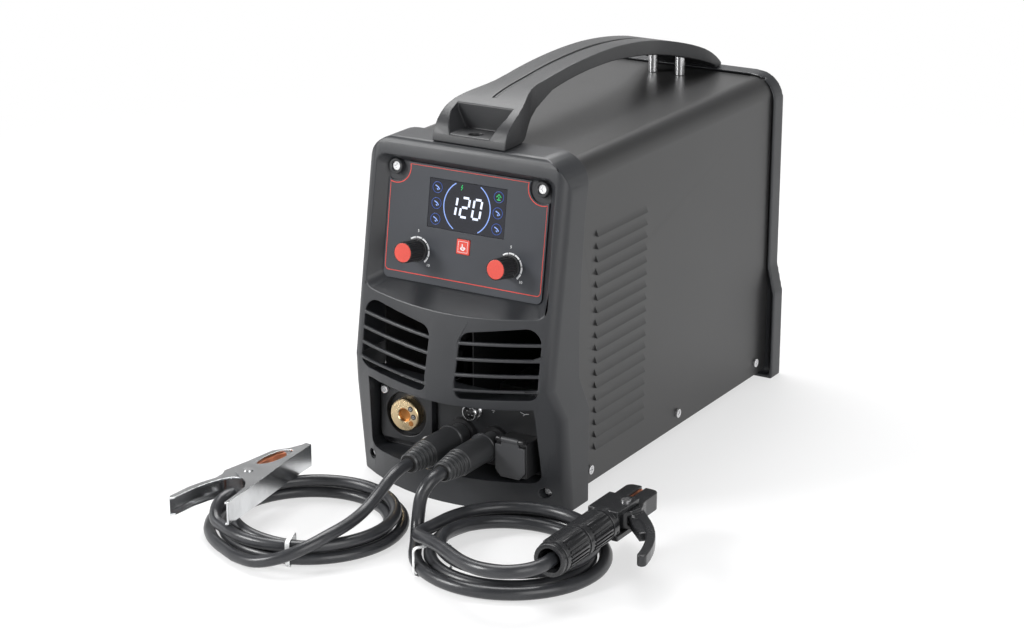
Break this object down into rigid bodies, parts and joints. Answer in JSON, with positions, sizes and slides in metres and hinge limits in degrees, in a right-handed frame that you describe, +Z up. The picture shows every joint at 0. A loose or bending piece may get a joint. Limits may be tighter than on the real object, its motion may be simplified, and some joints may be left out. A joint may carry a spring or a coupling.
{
  "type": "mig welding machine",
  "caption": "Portable inverter welding machine with a carry handle, angled control panel, louvred case, side door over the wire feeder, and earth clamp and electrode leads plugged in.",
  "frame": {"origin": "bottom centre of the machine, its leads left out, on the floor", "axes": "+X to the machine's left-hand side seen from the front, so right in a front view, +Y from front to rear, +Z up"},
  "size_m": [0.375, 0.6383, 0.3318],
  "materials": {
    "front_bezel": "moulded, fine satin grain",
    "rear_bezel": "moulded, fine satin grain",
    "case_cover": "black satin powder coat",
    "base_tray": "black powder coat",
    "side_door": "black satin powder coat",
    "door_latch": "moulded",
    "inner_divider": "black powder coat",
    "rear_panel": "black powder coat",
    "carry_handle": "moulded, fine grain",
    "case_screws": "zinc plated",
    "front_screws": "plated",
    "control_panel": "satin overlay film",
    "display_module": "glossy window",
    "mode_button": "satin",
    "voltage_knob": "fluted",
    "voltage_knob_cap": "satin",
    "current_knob": "fluted",
    "current_knob_cap": "satin",
    "control_board": "solder mask",
    "socket_plate": "fine grain",
    "euro_flange": "moulded",
    "euro_connector": "turned",
    "panel_sockets": "moulded",
    "trigger_socket": "plated",
    "cut_socket": "moulded",
    "cut_socket_cap": "moulded",
    "earth_plug": "ribbed boot",
    "electrode_plug": "ribbed boot",
    "earth_cord": "extruded sheath",
    "earth_coil": "extruded sheath",
    "earth_tail": "extruded sheath",
    "electrode_cord": "extruded sheath",
    "electrode_coil": "extruded sheath",
    "electrode_tail": "extruded sheath",
    "cable_ties": "white nylon",
    "clamp_bottom_jaw": "zinc plated",
    "clamp_top_jaw": "zinc plated",
    "clamp_pin": "plated",
    "clamp_spring": "spring steel",
    "clamp_contact": "copper",
    "holder_handle": "glass-filled, ribbed",
    "holder_lever": "glass-filled",
    "holder_pin": "plated",
    "holder_contact": "copper",
    "power_board": "solder mask",
    "heat_sinks": "extruded",
    "transformer": "varnished",
    "fan_frame": "moulded",
    "fan_rotor": "moulded",
    "feed_unit": "moulded",
    "feed_motor": "motor can",
    "drive_roll": "turned",
    "pressure_arm": "moulded",
    "pressure_roll": "turned",
    "spool_spindle": "moulded",
    "wire_spool": "moulded reel, copper-coloured wire",
    "power_switch": "moulded",
    "power_rocker": "moulded",
    "gas_inlet": "turned",
    "cable_gland": "moulded"
  },
  "bodies": {
    "machine": {"front_bezel": "front_bezel", "rear_bezel": "rear_bezel", "case_cover": "case_cover", "base_tray": "base_tray", "inner_divider": "inner_divider", "rear_panel": "rear_panel", "carry_handle": "carry_handle", "case_screws": "case_screws", "front_screws": "front_screws", "control_panel": "control_panel", "display_module": "display_module", "control_board": "control_board", "socket_plate": "socket_plate", "euro_flange": "euro_flange", "euro_connector": "euro_connector", "panel_sockets": "panel_sockets", "trigger_socket": "trigger_socket", "cut_socket": "cut_socket", "earth_plug": "earth_plug", "electrode_plug": "electrode_plug", "earth_cord": "earth_cord", "earth_coil": "earth_coil", "earth_tail": "earth_tail", "electrode_cord": "electrode_cord", "electrode_coil": "electrode_coil", "electrode_tail": "electrode_tail", "cable_ties": "cable_ties", "clamp_bottom_jaw": "clamp_bottom_jaw", "clamp_pin": "clamp_pin", "clamp_spring": "clamp_spring", "holder_handle": "holder_handle", "holder_pin": "holder_pin", "holder_contact": "holder_contact", "power_board": "power_board", "heat_sinks": "heat_sinks", "transformer": "transformer", "fan_frame": "fan_frame", "feed_unit": "feed_unit", "feed_motor": "feed_motor", "spool_spindle": "spool_spindle", "power_switch": "power_switch", "gas_inlet": "gas_inlet", "cable_gland": "cable_gland"},
    "voltage_dial": {"voltage_knob": "voltage_knob", "voltage_knob_cap": "voltage_knob_cap"},
    "current_dial": {"current_knob": "current_knob", "current_knob_cap": "current_knob_cap"},
    "button": {"mode_button": "mode_button"},
    "socket_cap": {"cut_socket_cap": "cut_socket_cap"},
    "door": {"side_door": "side_door"},
    "latch": {"door_latch": "door_latch"},
    "rocker": {"power_rocker": "power_rocker"},
    "fan": {"fan_rotor": "fan_rotor"},
    "spool": {"wire_spool": "wire_spool"},
    "feed_roll": {"drive_roll": "drive_roll"},
    "arm": {"pressure_arm": "pressure_arm"},
    "idler": {"pressure_roll": "pressure_roll"},
    "clamp_jaw": {"clamp_top_jaw": "clamp_top_jaw", "clamp_contact": "clamp_contact"},
    "lever": {"holder_lever": "holder_lever"}
  },
  "joints": [
    {"name": "voltage_turn", "type": "hinge", "parent": "machine", "child": "voltage_dial", "pos_m": [-0.0433, -0.18738, 0.19776], "axis": [0, -0.9892, 0.1466], "range_deg": [-150, 150]},
    {"name": "current_turn", "type": "hinge", "parent": "machine", "child": "current_dial", "pos_m": [0.0433, -0.18738, 0.19776], "axis": [0, -0.9892, 0.1466], "range_deg": [-150, 150]},
    {"name": "mode_press", "type": "slide", "parent": "machine", "child": "button", "axis": [0, -0.9892, 0.1466], "range_m": [-0.0008, 0], "stiffness_N_per_m": 400},
    {"name": "socket_cap_lift", "type": "hinge", "parent": "machine", "child": "socket_cap", "pos_m": [0.0585, -0.2112, 0.0622], "axis": [-1, 0, 0], "range_deg": [0, 110], "stiffness_Nm_per_rad": 0.01},
    {"name": "door_swing", "type": "hinge", "parent": "machine", "child": "door", "pos_m": [-0.093, 0.0188, 0.035], "axis": [0, -1, 0], "range_deg": [0, 90]},
    {"name": "latch_pull", "type": "hinge", "parent": "door", "child": "latch", "pos_m": [-0.0886, 0.0188, 0.231], "axis": [0, 1, 0], "range_deg": [0, 35], "stiffness_Nm_per_rad": 0.02},
    {"name": "switch_rock", "type": "hinge", "parent": "machine", "child": "rocker", "pos_m": [-0.052, 0.1878, 0.232], "axis": [1, 0, 0], "range_deg": [0, 12]},
    {"name": "fan_spin", "type": "hinge", "parent": "machine", "child": "fan", "pos_m": [0.038, 0.1758, 0.19], "axis": [0, 1, 0], "continuous": true},
    {"name": "spool_spin", "type": "hinge", "parent": "machine", "child": "spool", "pos_m": [-0.0512, 0.0688, 0.15], "axis": [1, 0, 0], "continuous": true},
    {"name": "feed_spin", "type": "hinge", "parent": "machine", "child": "feed_roll", "pos_m": [-0.052, -0.0862, 0.042], "axis": [1, 0, 0], "continuous": true},
    {"name": "arm_lift", "type": "hinge", "parent": "machine", "child": "arm", "pos_m": [-0.052, -0.0592, 0.087], "axis": [-1, 0, 0], "range_deg": [0, 60]},
    {"name": "idler_spin", "type": "hinge", "parent": "arm", "child": "idler", "pos_m": [-0.052, -0.0862, 0.069], "axis": [1, 0, 0], "continuous": true},
    {"name": "clamp_open", "type": "hinge", "parent": "machine", "child": "clamp_jaw", "pos_m": [-0.1147, -0.3259, 0.0309], "axis": [0, 0, 1], "range_deg": [0, 10], "stiffness_Nm_per_rad": 0.3},
    {"name": "holder_open", "type": "hinge", "parent": "machine", "child": "lever", "pos_m": [0.181, -0.2432, 0.0364], "axis": [0, 0, -1], "range_deg": [0, 20], "stiffness_Nm_per_rad": 0.3}
  ],
  "couplings": [
    {"joint": "idler_spin", "follows": "feed_spin", "ratio": -1.3636}
  ]
}
